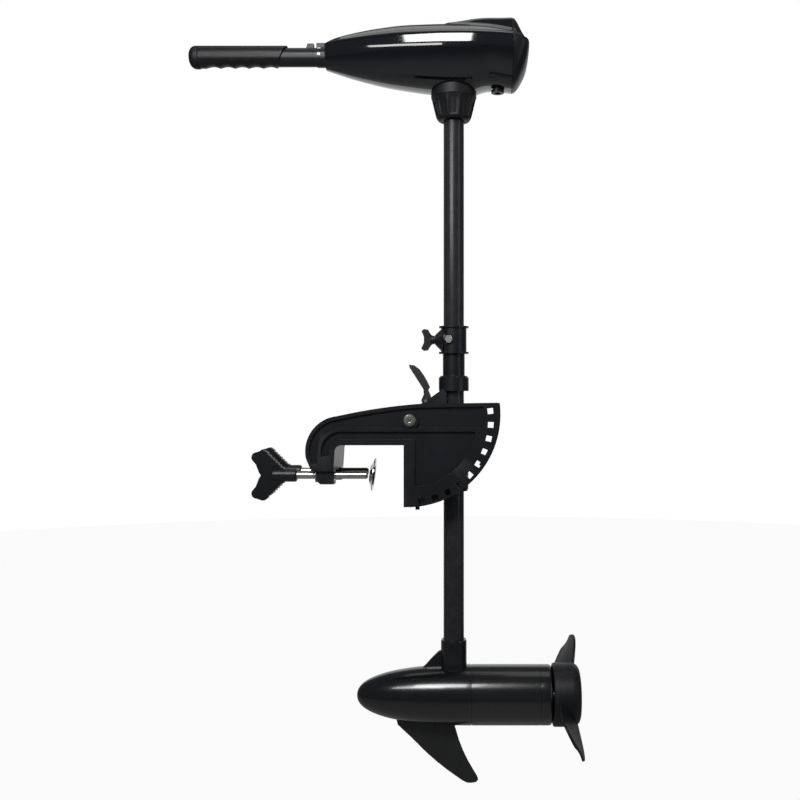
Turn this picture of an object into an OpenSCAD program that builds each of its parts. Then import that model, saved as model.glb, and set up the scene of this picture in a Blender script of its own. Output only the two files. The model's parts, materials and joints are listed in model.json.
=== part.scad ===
// Transom-mount electric trolling motor, built as separate pieces.
// Origin: centre of the jaw face that bears on the transom, at the height of the clamp screws.
// +X points aft, away from the boat, +Y to starboard and +Z up. Millimetres.

/* [Shaft] */
// Outside diameter of the shaft tube
shaft_d = 28.6; // [28:0.1:29]
// Wall of the shaft tube
shaft_wall = 2; // [1.5:0.1:3]
// Distance from the transom face to the shaft's axis
shaft_x = 66.7; // [66:0.1:68]

/* [Bracket] */
// Overall width across the two side plates
bracket_w = 104; // [100:1:108]
// Thickness of the ribs and of each side plate's rim
plate_t = 8; // [7:0.5:9]
// Thickness of the thin skin between the ribs
skin_t = 4; // [3:0.5:5]
// Clear opening of the C, from the front arm to the jaw
throat = 94.6; // [90:0.1:98]
// Number of lock windows in the sector
window_count = 10; // [6:1:10]
// Angle between neighbouring lock windows
window_step = 9.8; // [9:0.1:10]
// Width of each square lock window
window_w = 7.8; // [7:0.1:9]

/* [Clamp screws] */
// Distance between the two clamp screws
screw_gap = 76; // [72:1:80]
// Diameter of each clamp rod
rod_d = 10; // [9:0.5:11]
// Diameter of the swivel pad
pad_d = 40; // [36:1:42]

/* [Head] */
// Height of the tiller's axis above the clamp screws
tiller_z = 581.5; // [578:0.5:585]
// Diameter of the twist grip
grip_d = 31.6; // [30:0.1:33]
// Widest part of the control head
head_w = 124; // [116:1:130]

/* [Motor] */
// Diameter of the motor housing
motor_d = 82.5; // [80:0.5:84]
// Height of the motor's axis below the clamp screws
motor_drop = 309.8; // [305:0.1:315]
// Number of propeller blades
blade_count = 2; // [2:1:3]
// Propeller tip radius
blade_r = 104; // [98:1:108]
// Turn of the first blade from straight down
blade_turn = 63; // [0:1:90]
// Blade pitch angle at the hub
blade_pitch = 34; // [20:1:40]

/* [Hidden] */
$fn = 64;

nylon = "#17181b";
gloss = "#0b0c10";
steel = "#c9cbcf";
brass = "#b08d3c";
copper = "#b5652b";
clear = 0.3;         // gap between bodies that only pass each other
fit = 0.06;          // radial clearance of a running fit
eps = 0.01;

shaft_r = shaft_d / 2;
half_w = bracket_w / 2;
inner_y = half_w - plate_t;
motor_z = -motor_drop;
motor_r = motor_d / 2;
screw_y = screw_gap / 2;
rod_r = rod_d / 2;

// bracket outline
pivot = [8.1, 74.8];
nose_c = [-throat + 10, 33];
nose_r = 48;
throat_z = 41.3;
jaw_z = -42.1;
sector_c = [5.6, 82.8];
sector_r = 124.9;
top_z = 98.4;
brow = [17.4, 96.9];
brow_slope = 0.08;
brow_r = 740;
arm_z = 6;
window_r = 109.5;
window_first = 6.6;
tilt_max = window_step * (window_count - 1);
lock_angle = window_first - tilt_max;
boss_r = 13;         // half height of a screw boss above the rod
boss_w = 19.2;       // width of a screw boss
boss_x0 = -118.8;
insert_r = 8;
collar_flange_r = insert_r + 2;
bolt_r = 4;
pad_x = -48.8;       // back of the near swivel pad
rod_x0 = -190;       // outer end of the near clamp rod
far_back = 7;        // how much further out the far screw is wound
pad_tilt = 7;

// swivel arm
bush_r = 17;
tail_r = 115;
cavity_y = 12;
cheek_y = 16;
rod_at = 27;         // X of the pull rod
lever_at = [28, 101];
lock_at = pivot + window_r * [cos(lock_angle), sin(lock_angle)];

// depth collar and bushes
collar_z = 167;
collar_h = 38.2;
knob_z = 186.3;
ring_z = 114.9;

// tiller and head
head_x0 = -111.5;
head_x1 = 147;
head_split = 594;
grip_x0 = -302.6;
grip_x1 = -166;
tube_r = 12.9;

// neck collar
neck_z0 = 491.5;
neck_rim = 524;
neck_z1 = 541;

// head outlines, each as X and the value there
crown_line = [
    [-111.5, 600.2], [-98, 607.4], [-84, 610.6], [-50, 617.2],
    [-5, 622.8], [47, 624], [110, 622.4], [147, 616]
];
keel_line = [
    [-111.5, 564], [-73, 551.5], [-28, 541], [28, 532.4], [60, 530.2], [100, 530.2], [117, 538], [147, 537]
];
beam_line = [[-111.5, 20], [-84, 31], [-50, 42], [-5, 52.5], [47, 60], [95, 62], [147, 58]];
shoulder_line = [
    [-111.5, 595.6], [-85, 600], [-50, 602.5], [-8, 604.3], [47, 603.4], [130, 602], [147, 599]
];
stations = [-111.5, -98, -84, -67, -50, -28, -5, 20, 47, 70, 90, 104, 117, 130, 140, 147];
inner_stations = [-104, -84, -50, -28, -5, 20, 47, 70, 90, 104, 117, 130, 140, 144.5];
shell = 2.6;

// Stations of the hump: X, half width, lowest and highest Z.
hump_stations = [
    [60, 24, 616.5, 622], [76, 24, 616.5, 625.8], [90, 24, 616.5, 629.4], [104, 24, 616, 631.8],
    [120, 24, 615, 633.2], [140, 23, 612, 633], [147, 22, 610, 627]
];

// Head screws: place along X, seat of the screw's head and top of the post in the cover.
screw_spots = [[-40, 556, 610], [20, 543, 616.5]];
head_screw_y = 26;

// motor lengths
nose_tip = -68.5;
seam_x = 91.5;
rear_seam_x = 186.7;
cap_x = 202.8;
hub_x0 = 204.4;
hub_x1 = 242.5;
pin_x = 216;
wall = 3;
core_x0 = 100;
core_x1 = 160;
core_r = 27;

function arc(c, r, a0, a1, n) =
    [
        for (i = [0:n])
            let (a = a0 + (a1 - a0) * i / n)
                c + r * [cos(a), sin(a)]
    ];
function brow_z(x) = brow[1] - brow_slope * (brow[0] - x) - pow(brow[0] - x, 2) / (2 * brow_r);
function brow_line(x0, x1, drop, n) =
    [
        for (i = [0:n])
            let (x = x0 + (x1 - x0) * i / n)
                [x, brow_z(x) - drop]
    ];

module along_x(x0, x1, y = 0, z = 0) {
    translate([x0, y, z])
        rotate([0, 90, 0])
            linear_extrude(x1 - x0)
                children();
}

module rod_x(x0, x1, r, y = 0, z = 0) {
    translate([x0, y, z])
        rotate([0, 90, 0])
            cylinder(r = r, h = x1 - x0);
}

module cone_x(x0, x1, r0, r1, y = 0, z = 0) {
    translate([x0, y, z])
        rotate([0, 90, 0])
            cylinder(r1 = r0, r2 = r1, h = x1 - x0);
}

module rod_y(y0, y1, r, x, z) {
    translate([x, y1, z])
        rotate([90, 0, 0])
            cylinder(r = r, h = y1 - y0);
}

module rod_z(z0, z1, r, x = shaft_x, y = 0) {
    translate([x, y, z0])
        cylinder(r = r, h = z1 - z0);
}

// Extrudes a profile drawn in X and Z from y0 to y1.
module side(y0, y1) {
    translate([0, y1, 0])
        rotate([90, 0, 0])
            linear_extrude(y1 - y0)
                children();
}

// A closed skin through rings of points that all have the same count.
module loft(rings) {
    n = len(rings[0]);
    m = len(rings);
    points = [for (ring = rings) for (p = ring) p];
    start = [[for (i = [0:n - 1]) i]];
    end = [[for (i = [n - 1:-1:0]) (m - 1) * n + i]];
    walls = [
        for (j = [0:m - 2])
            for (i = [0:n - 1])
                for (t = [0, 1])
                    t == 0
                        ? [j * n + i, (j + 1) * n + i, j * n + (i + 1) % n]
                        : [j * n + (i + 1) % n, (j + 1) * n + i, (j + 1) * n + (i + 1) % n]
    ];
    polyhedron(points, concat(start, walls, end), convexity = 6);
}

// ---- bracket -------------------------------------------------------------------------------

module side_outline() {
    polygon(concat(
        [[0, jaw_z], [0, throat_z]],
        arc(nose_c, 10 - 1.7, 90, 180, 6),
        [[-throat, arm_z], [-throat - 29.4, arm_z], [-throat - 36, 21]],
        arc(nose_c, nose_r, 190, 108, 14),
        brow_line(-96, brow[0], 0, 9),
        [[sector_c[0] + sqrt(pow(sector_r, 2) - pow(top_z - sector_c[1], 2)), top_z]],
        arc(sector_c, sector_r, 6, -90, 28)
    ));
}

module upper_pocket() {
    rib_top = 64.6;
    end_r = 101;
    rim = 5;
    polygon(concat(
        arc(nose_c, rib_top - nose_c[1], 90, 180, 8),
        [[-throat - 21.5, 16], [-throat - 29.5, 16]],
        arc(nose_c, nose_r - rim, 186, 110, 10),
        brow_line(-96, brow[0], rim, 6),
        arc(pivot, end_r, asin((top_z - rim - pivot[1]) / end_r), asin((rib_top - pivot[1]) / end_r), 4)
    ));
}

module lower_pocket() {
    rib_bottom = 59.5;
    rail = 49;
    jaw_rim = 15;
    field_r = 90;
    polygon(concat(
        [[jaw_rim, rail]],
        arc(nose_c, rail - nose_c[1], 90, 180, 6),
        [[-throat - 6, 26], [-throat - 16.5, 26]],
        arc(nose_c, rib_bottom - nose_c[1], 180, 90, 8),
        arc(
            pivot, field_r,
            asin((rib_bottom - pivot[1]) / field_r),
            -acos((jaw_rim - pivot[0]) / field_r), 14
        )
    ));
}

module lock_windows() {
    for (k = [0:window_count - 1])
        translate(pivot)
            rotate(window_first - k * window_step)
                translate([window_r, 0])
                    square(window_w, center = true);
}

// One long slot under the rim, in place of windows, and open at its lower end.
module rim_slot() {
    inner_r = window_r - 5.5;
    polygon(concat(
        arc(pivot, inner_r, 10, -49, 14),
        arc(sector_c, sector_r - 3, -54, 5.5, 14)
    ));
    polygon(concat(
        arc(pivot, inner_r, -35, -50, 4),
        arc(pivot, sector_r + 15, -50, -35, 4)
    ));
}

// s is -1 for the left plate and 1 for the right plate.
module side_plate(s) {
    skin0 = s < 0 ? -inner_y - skin_t : inner_y;
    rim0 = s < 0 ? -half_w : inner_y;
    out0 = s < 0 ? -half_w - eps : inner_y + skin_t;
    difference() {
        side(rim0, rim0 + plate_t)
            side_outline();
        difference() {
            side(out0, out0 + plate_t - skin_t + eps)
                union() {
                    upper_pocket();
                    lower_pocket();
                }
            rod_y(-half_w, half_w, 12, pivot[0], pivot[1]);
        }
        side(skin0 - plate_t, skin0 + 2 * plate_t)
            if (s < 0)
                lock_windows();
            else
                rim_slot();
        rod_y(-half_w - 1, half_w + 1, 4.1, pivot[0], pivot[1]);
        screw_boss(s);
        rod_x(-throat - 50, boss_x0, collar_flange_r + 0.2, s * screw_y);
    }
}

// The block that holds one clamp screw, with its lower front corner cut off.
module screw_boss(s) {
    translate([0, s * screw_y, 0])
        side(-boss_w / 2, boss_w / 2)
            polygon([
                [boss_x0, boss_r], [boss_x0, -6.5], [boss_x0 + 6, -11.7], [-throat + 0.3, -11.7],
                [-throat + 0.3, boss_r]
            ]);
}

module bracket_web() {
    web_t = 6;
    nose_wall = 5;
    color(nylon)
        difference() {
            union() {
                side(-inner_y, inner_y)
                    polygon(concat(
                        [[0, jaw_z], [0, throat_z]],
                        arc(nose_c, 10 - 1.7, 90, 180, 6),
                        [[-throat, arm_z], [-throat - web_t, arm_z]],
                        arc(nose_c, 10 - 1.7 + web_t, 180, 90, 8),
                        [[web_t, throat_z + web_t], [web_t, jaw_z]]
                    ));
                side(-inner_y, inner_y)
                    polygon(concat(
                        [[-throat, arm_z], [-throat - 29.4, arm_z], [-throat - 36, 21]],
                        arc(nose_c, nose_r, 190, 102, 14),
                        arc(nose_c, nose_r - nose_wall, 102, 190, 14),
                        [[-throat - 30, 21], [-throat - 26, arm_z + nose_wall], [-throat, arm_z + nose_wall]]
                    ));
                for (s = [-1, 1])
                    screw_boss(s);
            }
            for (s = [-1, 1]) {
                rod_x(boss_x0 - 1, -throat + 1, insert_r, s * screw_y);
                rod_x(boss_x0 - 12, boss_x0, collar_flange_r + 0.2, s * screw_y);
            }
        }
}

// Threaded steel bushes pressed into the two bosses.
module screw_inserts() {
    color(steel)
        for (s = [-1, 1])
            difference() {
                union() {
                    rod_x(boss_x0, -throat + 0.3, insert_r, s * screw_y);
                    rod_x(boss_x0 - 1.5, boss_x0, collar_flange_r, s * screw_y);
                }
                rod_x(boss_x0 - 2, -throat + 1, rod_r + fit, s * screw_y);
            }
}

module pivot_bolt() {
    color(steel)
        difference() {
            union() {
                rod_y(-half_w - 2, half_w + 12, bolt_r, pivot[0], pivot[1]);
                rod_y(-half_w - 6.5, -half_w - 1.6, 6.2, pivot[0], pivot[1]);
            }
            translate([pivot[0], -half_w - 3.5, pivot[1]])
                rotate([90, 0, 0])
                    cylinder(r = 3, h = 4, $fn = 6);
        }
}

module pivot_nut() {
    color(steel)
        difference() {
            translate([pivot[0], half_w + 8.6, pivot[1]])
                rotate([90, 0, 0])
                    cylinder(r = 7.5, h = 7, $fn = 6);
            rod_y(half_w, half_w + 12, bolt_r, pivot[0], pivot[1]);
        }
}

module pivot_washers() {
    color(steel)
        for (y = [-half_w - 1.6, half_w])
            difference() {
                rod_y(y, y + 1.6, 8.1, pivot[0], pivot[1]);
                rod_y(y - 1, y + 3, bolt_r, pivot[0], pivot[1]);
            }
}

// ---- clamp screws --------------------------------------------------------------------------

// Distance that a screw is drawn back from the near screw's place.
function drawn_back(s) = s > 0 ? far_back : 0;

module clamp_pad(s) {
    r = pad_d / 2;
    color(steel)
        translate([pad_x - drawn_back(s), s * screw_y, 0])
            rotate([0, 90 + pad_tilt, 0])
                rotate_extrude()
                    polygon([
                        [0, 1.6], [6, 1.6], [9, 2], [r - 3, 5.6], [r, 6.6],
                        [r, 8], [r - 3.4, 7.4], [9, 4], [0, 4]
                    ]);
}

module clamp_rod(s) {
    color(steel)
        translate([-drawn_back(s), 0, 0]) {
            rod_x(rod_x0, pad_x - 2.6, rod_r, s * screw_y);
            cone_x(pad_x - 2.6, pad_x - 0.4, rod_r, 3, s * screw_y);
        }
}

// Wings drawn in the plane of the rod and Z, with a V between them.
module wing_outline(x0, x1, h, notch) {
    polygon([
        [x1, -9], [x1, 9], [x0 + 28, 13], [x0 + 20, h - 4], [x0 + 13, h], [x0 + 5, h - 1.5],
        [x0, h - 9], [notch, 0], [x0, -h + 9], [x0 + 5, -h + 1.5], [x0 + 13, -h],
        [x0 + 20, -h + 4], [x0 + 28, -13]
    ]);
}

module clamp_handle(s) {
    sleeve_r = 8.9;
    color(nylon)
        translate([-drawn_back(s), s * screw_y, 0])
            difference() {
                union() {
                    rod_x(-173, -147, sleeve_r);
                    side(-5.5, 5.5)
                        wing_outline(-207, -161, 33.5, -193.6);
                }
                rod_x(rod_x0, -140, rod_r);
            }
}

// ---- swivel arm ----------------------------------------------------------------------------

module lock_hole(w, y0, y1) {
    translate([lock_at[0], y0, lock_at[1]])
        rotate([0, -lock_angle, 0])
            translate([-w / 2, 0, -w / 2])
                cube([w, y1 - y0, w]);
}

module arm_profile() {
    polygon(concat(
        [[61.4, 124.7], [36.2, 106.5], [20.8, 96.7], [11, 87.4], [9, 62], [14, 55]],
        arc(pivot, tail_r, -87, -66, 5),
        [[54, -22], [57, 0], [57, ring_z], [61.4, ring_z]]
    ));
}

module swivel_arm() {
    color(nylon)
        difference() {
            union() {
                side(-cheek_y, cheek_y)
                    arm_profile();
                rod_y(-inner_y + clear, inner_y - clear, 13, pivot[0], pivot[1]);
                side(-inner_y + clear, cheek_y)
                    polygon(concat(
                        arc(pivot, tail_r, -87, -66, 5),
                        [[50, -18], [15, -18]]
                    ));
                rod_z(ring_z, 133.1, 21);
                translate([shaft_x, 0, 133.1])
                    cylinder(r1 = 21, r2 = 18.5, h = 2.9);
                rod_z(-22, 8, 20.5);
                rod_z(-51, -38, 3, 16);
            }
            side(-cavity_y, cavity_y)
                polygon([
                    [5, 118], [46, 118], [46, -14], [0, -14], [0, 55], [22, 55], [22, 92], [5, 100]
                ]);
            rod_z(-30, 140, bush_r);
            rod_z(-45, -22, 19.8);
            rod_z(8 + eps, ring_z - eps, shaft_r + 1.4);
            rod_z(-36, -10, 4, rod_at);
            lock_hole(window_w, -inner_y, -4);
            rod_y(-inner_y - 1, inner_y + 1, 7, pivot[0], pivot[1]);
            rod_y(-cheek_y - 1, cheek_y + 1, 2, lever_at[0], lever_at[1]);
        }
}

module pivot_bushes() {
    color("#d8d4c8")
        for (s = [-1, 1])
            difference() {
                rod_y(s < 0 ? -inner_y + clear : 14, s < 0 ? -14 : inner_y - clear, 7, pivot[0], pivot[1]);
                rod_y(-inner_y - 1, inner_y + 1, bolt_r + fit, pivot[0], pivot[1]);
            }
}

module upper_bush() {
    color(nylon)
        difference() {
            union() {
                rod_z(ring_z, 136, bush_r);
                rod_z(136, collar_z - clear, 15.3);
            }
            rod_z(ring_z - 1, collar_z + 1, shaft_r + fit);
        }
}

module lower_bush() {
    color(nylon)
        difference() {
            union() {
                rod_z(-22, 8, bush_r);
                rod_z(-24.5, -22, 19.5);
            }
            rod_z(-26, 9, shaft_r + fit);
        }
}

module release_lever() {
    color(nylon)
        difference() {
            union() {
                side(-9, 9)
                    polygon([
                        [4.5, 151.5], [12, 150.5], [18, 146], [24, 138], [29.5, 128.5], [33.2, 120.5],
                        [31, 116.5], [34, 109], [35, 103], [32.5, 96.5], [23.5, 96.5], [21.5, 102],
                        [25, 110], [24.6, 117], [19, 126], [12, 137], [5.5, 147]
                    ]);
                side(-4, 4)
                    polygon([[23.5, 97], [32.5, 97], [31, 91.5], [24, 91.5]]);
            }
            rod_y(-10, 10, 2 + fit, lever_at[0], lever_at[1]);
        }
}

module lever_pin() {
    color(steel)
        rod_y(-cheek_y, cheek_y, 2, lever_at[0], lever_at[1]);
}

// The rod's foot is a wedge that pushes the lock bolt outwards.
module pull_rod() {
    color(steel) {
        rod_z(-16, 91, 2.4, rod_at);
        rod_z(36, 39, 6, rod_at);
        translate([rod_at, 0, -16])
            rotate([180, 0, 0])
                cylinder(r1 = 2.4, r2 = 0.6, h = 8);
    }
}

module rod_spring() {
    turns = 8;
    coil_r = 4.2;
    wire_r = 0.7;
    z0 = 40;
    pitch = 1.9;
    steps = 14;
    sides = 6;
    color(steel)
        loft([
            for (i = [0:turns * steps])
                let (a = 360 * i / steps)
                    let (c = [rod_at + coil_r * cos(a), coil_r * sin(a), z0 + pitch * i / steps])
                        [
                            for (k = [0:sides - 1])
                                let (b = 360 * k / sides, out = wire_r * cos(b))
                                    c + [out * cos(a), out * sin(a), wire_r * sin(b)]
                        ]
        ]);
}

module lock_bolt() {
    color(steel)
        lock_hole(window_w - 2 * clear, -inner_y + clear, -7);
}

// ---- depth collar --------------------------------------------------------------------------

module depth_collar() {
    color(nylon)
        difference() {
            union() {
                rod_z(collar_z, collar_z + collar_h, 17.8);
                for (z = [collar_z, collar_z + collar_h - 2.2])
                    rod_z(z, z + 2.2, 20.9);
                cone_x(40.4, 52, 6.5, 18.6, 0, knob_z);
                rod_x(52, 58, 15, 0, knob_z);
            }
            rod_z(collar_z - 1, collar_z + collar_h + 1, shaft_r + fit);
            rod_x(30, 60, 3.1, 0, knob_z);
            translate([45.5, -4.6, knob_z - 4.6])
                cube([4, 9.2, 30]);
            translate([shaft_x, 0, knob_z])
                rotate([90, 0, -18])
                    translate([0, 0, 12])
                        cylinder(r = 2.5, h = 12);
        }
}

module collar_screw() {
    color(steel)
        translate([shaft_x, 0, knob_z])
            rotate([90, 0, -18]) {
                translate([0, 0, 15])
                    cylinder(r = 2.5, h = 3);
                translate([0, 0, 17.9])
                    cylinder(r = 5.8, h = 4, $fn = 6);
            }
}

module captive_nut() {
    color(steel)
        difference() {
            translate([45.5, -4.6, knob_z - 4.6])
                cube([4, 9.2, 9.2]);
            rod_x(40, 60, 3, 0, knob_z);
        }
}

module knob_stud() {
    color(steel)
        rod_x(30, 52.2, 3 - fit, 0, knob_z);
}

module depth_knob() {
    color(nylon)
        difference() {
            union() {
                rod_x(34, 40, 6, 0, knob_z);
                translate([0, 0, knob_z])
                    side(-4, 4)
                        polygon([
                            [38, -5], [38, 5], [34.5, 8], [31, 14], [25.5, 15.2], [21.6, 12.6], [25, 4],
                            [25, -4], [21.2, -12], [24.5, -15.2], [30.5, -14.5], [34.5, -8]
                        ]);
            }
            rod_x(30, 41, 3 - fit, 0, knob_z);
        }
}

// ---- shaft and head ------------------------------------------------------------------------

module shaft_tube() {
    color("#0e0f12")
        difference() {
            rod_z(motor_z + 30, 528, shaft_r);
            rod_z(motor_z + 29, 529, shaft_r - shaft_wall);
        }
}

module motor_leads() {
    color("#8a1c1c")
        for (s = [-1, 1])
            rod_z(motor_z + 38, 548, 2.2, shaft_x + 4 * s);
}

module neck_collar() {
    r0 = 23.5;
    r1 = 31.7;
    flutes = 10;
    color(nylon)
        difference() {
            union() {
                translate([shaft_x, 0, neck_z0])
                    cylinder(r1 = r0 - 3, r2 = r0, h = 4);
                translate([shaft_x, 0, neck_z0 + 4])
                    cylinder(r1 = r0, r2 = r1 - 0.6, h = neck_rim - neck_z0 - 4);
                rod_z(neck_rim, neck_z1, r1);
            }
            rod_z(neck_z0 - 1, neck_z1 + 1, shaft_r);
            for (k = [0:flutes - 1])
                rotate_about_shaft(360 * (k + 0.5) / flutes)
                    translate([r0 + 5.6, 0, neck_z0 - 2])
                        rotate([0, 12, 0])
                            cylinder(r = 4, h = neck_rim - neck_z0 + 2);
        }
}

module rotate_about_shaft(a) {
    translate([shaft_x, 0, 0])
        rotate(a)
            children();
}

function half_beam(x) = lookup(x, beam_line) * head_w / 124;
function upper_ring(x, t, drop) =
    let (w = half_beam(x) - t, top = lookup(x, crown_line) - t, sh = lookup(x, shoulder_line) - t)
    let (half = [
        [w, head_split - drop],
        [w * 0.93, (head_split * 2 + sh) / 3],
        [w * 0.8, sh],
        [w * 0.55, sh + (top - sh) * 0.62],
        [w * 0.28, sh + (top - sh) * 0.9]
    ])
    concat(
        [for (p = half) [x, p[0], p[1]]],
        [[x, 0, top]],
        [for (i = [len(half) - 1:-1:0]) [x, -half[i][0], half[i][1]]]
    );
function lower_ring(x, t) =
    let (w = half_beam(x) - t, drop = head_split - lookup(x, keel_line) - t, n = 14)
    [
        for (i = [0:n])
            let (a = 180 + 180 * i / n, c = cos(a), s = sin(a))
                [x, sign(c) * w * pow(abs(c), 0.85), head_split + drop * sign(s) * pow(abs(s), 0.85)]
    ];

module hump() {
    edge = 1.4;
    loft([
        for (v = hump_stations)
            let (x = v[0], w = v[1], side = w * 0.94, flat = w * 0.72)
                [
                    [x, w, v[2]], [x, side, v[3] - edge], [x, flat, v[3]],
                    [x, -flat, v[3]], [x, -side, v[3] - edge], [x, -w, v[2]]
                ]
    ]);
}

// Draws its children at each of the four head screws.
module at_head_screws() {
    for (v = screw_spots, s = [-1, 1])
        translate([v[0], s * head_screw_y, 0]) {
            $seat = v[1];
            $post = v[2];
            children();
        }
}

module head_cover() {
    post_z = 596;
    color(gloss)
        difference() {
            union() {
                difference() {
                    union() {
                        loft([for (x = stations) upper_ring(x, 0, 0)]);
                        hump();
                    }
                    loft([for (x = inner_stations) upper_ring(x, shell, 1)]);
                }
                at_head_screws()
                    translate([0, 0, post_z])
                        cylinder(r = 4.5, h = $post - post_z);
            }
            rod_x(head_x0 - 1, head_x0 + 12, 13, 0, tiller_z);
            at_head_screws()
                translate([0, 0, post_z - 1])
                    cylinder(r = 2, h = 8);
        }
}

module head_base() {
    color(gloss)
        difference() {
            union() {
                difference() {
                    loft([for (x = stations) lower_ring(x, 0)]);
                    translate([0, 0, 1])
                        loft([for (x = inner_stations) lower_ring(x, shell)]);
                }
                at_head_screws()
                    translate([0, 0, $seat])
                        cylinder(r = 5.2, h = head_split + 2 - $seat);
            }
            rod_x(head_x0 - 1, head_x0 + 12, 13, 0, tiller_z);
            rod_z(520, 545, 12.4);
            rod_z(520, neck_z1, 31.7);
            rod_z(520, 550, 6.6, 128);
            at_head_screws() {
                translate([0, 0, $seat - 14])
                    cylinder(r = 3.4, h = 15);
                translate([0, 0, $seat])
                    cylinder(r = 2 + fit, h = 60);
            }
        }
}

function spow(v, e) = sign(v) * pow(abs(v), e);
function oval(x, w, lo, hi, e) = [
    for (i = [0:23])
        let (a = 15 * i)
            [x, w * spow(cos(a), e), (lo + hi) / 2 + (hi - lo) / 2 * spow(sin(a), e)]
];

// The panel that closes the back of the head and of its hump.
module rear_cap() {
    back = head_x1;
    color(nylon)
        difference() {
            union() {
                loft([
                    for (v = [
                        [0, 57, 536, 616], [10, 56.5, 538, 611], [18, 53, 548, 604.5], [24, 45, 560, 596]
                    ])
                        oval(back + v[0], v[1], v[2], v[3], 0.75)
                ]);
                loft([
                    for (v = [
                        [0, 23, 600, 633], [6, 22.5, 598, 630.5], [10, 21, 594, 619.5], [14, 18, 590, 607]
                    ])
                        oval(back + v[0], v[1], v[2], v[3], 0.5)
                ]);
            }
            loft([
                for (v = [[-2, 54, 540, 612], [10, 53, 542, 607], [19, 47, 554, 598]])
                    oval(back + v[0], v[1], v[2], v[3], 0.75)
            ]);
        }
}

module head_screws() {
    color(steel)
        at_head_screws() {
            translate([0, 0, $seat - 1.6])
                cylinder(r = 3.1, h = 2.6);
            translate([0, 0, $seat + 1])
                cylinder(r = 2, h = head_split + 8 - $seat);
        }
}

module cable_gland() {
    color(nylon)
        difference() {
            union() {
                rod_z(531.5, 549, 6.6, 128);
                rod_z(531.5, 535.5, 9, 128);
            }
            rod_z(530, 550, 4, 128);
        }
}

module circuit_board() {
    color("#1d5a35")
        translate([30, -32, 560])
            cube([74, 64, 1.8]);
}

module speed_switch() {
    color("#26272b")
        difference() {
            rod_x(-92, -64, 15, 0, tiller_z);
            rod_x(-93, -63, 5.3, 0, tiller_z);
        }
}

module tiller_tube() {
    color(nylon)
        difference() {
            union() {
                rod_x(-184, head_x0 + 8, tube_r, 0, tiller_z);
                side(-4, 4)
                    polygon([[-139.5, tiller_z + 12], [-129, tiller_z + 12], [-129, 600], [-137.5, 600]]);
                side(-6, 6)
                    polygon([[-124.8, tiller_z + 12], [-113, tiller_z + 12], [-113, 600], [-124.8, 600]]);
            }
            rod_x(-185, head_x0 + 9, 9.4, 0, tiller_z);
        }
}

module dial_ring() {
    color(nylon)
        difference() {
            rod_x(-124, head_x0 - 0.5, tube_r + 1, 0, tiller_z);
            rod_x(-125, head_x0, tube_r, 0, tiller_z);
            side(-6, 6)
                polygon([[-126, tiller_z + 12], [-110, tiller_z + 12], [-110, 602], [-126, 602]]);
        }
}

module drive_rod() {
    color(steel) {
        translate([-286, -3.5, tiller_z - 3.5])
            cube([223.5, 7, 7]);
        rod_x(-63, -60, 7, 0, tiller_z);
    }
}

module grip() {
    r = grip_d / 2;
    color(nylon)
        difference() {
            rod_x(grip_x0 + 14, grip_x1, r, 0, tiller_z);
            rod_x(grip_x0 + 30, grip_x1 + 1, tube_r + clear, 0, tiller_z);
            translate([grip_x0, -3.8, tiller_z - 3.8])
                cube([120, 7.6, 7.6]);
            for (k = [0:4])
                rod_y(-20, 20, 30, grip_x0 + 26 + 20 * k, tiller_z - r - 27.2);
            translate([grip_x1 + 2, -20, tiller_z - 20])
                rotate([0, -24, 0])
                    translate([0, 0, -12])
                        cube([30, 40, 36]);
        }
}

module grip_cap() {
    r = grip_d / 2;
    color(nylon)
        translate([grip_x0, 0, tiller_z])
            rotate([0, 90, 0])
                rotate_extrude()
                    polygon(concat([[0, 0]], arc([r - 6, 6], 6, -90, 0, 6), [[r, 13.7], [0, 13.7]]));
}

// ---- motor ---------------------------------------------------------------------------------

function ogive(x) = motor_r * pow(1 - pow((seam_x - x) / (seam_x - nose_tip), 2.3), 1 / 2.3);
function ogive_line(d, n) =
    [
        for (i = [0:n])
            let (x = nose_tip + (seam_x - nose_tip) * pow(i / n, 2))
                [max(ogive(x) - d, 0), x]
    ];

module turned(profile) {
    translate([0, 0, motor_z])
        rotate([0, 90, 0])
            rotate_extrude()
                polygon(profile);
}

module motor_nose() {
    color(gloss)
        difference() {
            union() {
                turned(concat(ogive_line(0, 20), [[0, seam_x]]));
                rod_z(motor_z + 20, -232, 17.9);
                side(-5, 5)
                    polygon([[52, -247.7], [46, -247.7], [36, -257], [20, -275], [52, -275]]);
                side(-3, 3)
                    polygon([
                        [-11.4, motor_z - 35], [-11.4, -351.3], [28.1, -390.5], [58.3, -415.7], [78.2, -429.7],
                        [85.2, -433.5], [97.8, -432.5], [101.4, -428.3], [99.2, -424.1], [86.4, -401.7],
                        [74.1, -373.7], [68.4, -354.1], [68.4, motor_z - 35]
                    ]);
            }
            rod_x(20, seam_x + 1, motor_r - wall - 1, 0, motor_z);
            rod_x(0, 21, 8, 0, motor_z);
            rod_z(motor_z + 30, -231, shaft_r);
            rod_z(motor_z, motor_z + 31, 9);
        }
}

module motor_tube() {
    color(gloss)
        difference() {
            rod_x(seam_x, rear_seam_x, motor_r, 0, motor_z);
            rod_x(seam_x - 1, rear_seam_x + 1, motor_r - wall, 0, motor_z);
        }
}

module motor_end_cap() {
    color(gloss)
        difference() {
            turned([
                [0, rear_seam_x], [motor_r, rear_seam_x], [motor_r, cap_x - 3],
                [motor_r - 1.5, cap_x], [0, cap_x]
            ]);
            rod_x(rear_seam_x - 1, rear_seam_x + 7, 11, 0, motor_z);
            rod_x(rear_seam_x, cap_x + 1, 7.5, 0, motor_z);
        }
}

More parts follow.
